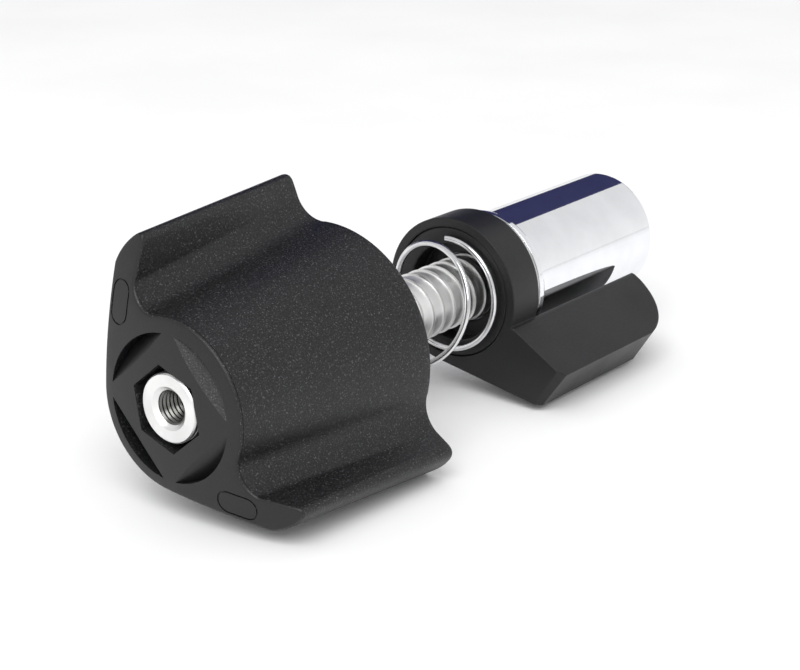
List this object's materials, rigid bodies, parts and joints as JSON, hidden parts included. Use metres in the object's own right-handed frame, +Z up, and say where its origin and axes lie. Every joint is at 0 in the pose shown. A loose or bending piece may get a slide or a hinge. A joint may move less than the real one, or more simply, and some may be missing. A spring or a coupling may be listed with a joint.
{
  "type": "spring-loaded clamp screw",
  "caption": "Winged knob on a hollow threaded spindle, with a coil spring, a lock collar with a side blade, and a round chrome sleeve with a clamping cup.",
  "frame": {"origin": "on the spindle's axis, in the front shoulder of the sleeve", "axes": "+X along the spindle from the knob towards the clamping cup, +Z up as it lies on its side"},
  "size_m": [0.122, 0.0418, 0.0461],
  "materials": {
    "moulded_black": "black moulded plastic, fine sparked texture on the grip, satin on the front face",
    "lever_black": "black moulded plastic, fine matt texture",
    "zinc_spindle": "bright zinc-plated steel",
    "spring_wire": "bright drawn spring wire",
    "chrome_plate": "mirror chrome plate",
    "washer_steel": "plain stamped steel",
    "nylon": "natural nylon",
    "hardened_steel": "dark hardened steel"
  },
  "bodies": {
    "sleeve": {"sleeve": "chrome_plate", "neck_nut": "hardened_steel", "nut_pin": "washer_steel", "end_cup": "hardened_steel", "collar_circlip": "washer_steel", "collar_shim": "washer_steel", "friction_washer": "washer_steel", "sleeve_shim": "chrome_plate", "spring": "spring_wire"},
    "thrust": {"thrust_washer": "washer_steel"},
    "knob": {"knob_body": "moulded_black", "spindle": "zinc_spindle", "stop_clip": "washer_steel"},
    "collar": {"lock_collar": "lever_black", "collar_bush": "nylon", "spring_seat": "lever_black"}
  },
  "joints": [
    {"name": "knob_travel", "type": "slide", "parent": "sleeve", "child": "thrust", "axis": [1, 0, 0], "range_m": [0, 0.021], "deforming": ["spring"]},
    {"name": "knob_turn", "type": "hinge", "parent": "thrust", "child": "knob", "pos_m": [-0.06, 0, 0], "axis": [1, 0, 0], "range_deg": [0, 2520.5]},
    {"name": "collar_turn", "type": "hinge", "parent": "sleeve", "child": "collar", "pos_m": [-0.007, 0, 0], "axis": [1, 0, 0], "continuous": true}
  ],
  "couplings": [
    {"joint": "knob_turn", "follows": "knob_travel", "rad_per_m": 2094.4}
  ]
}
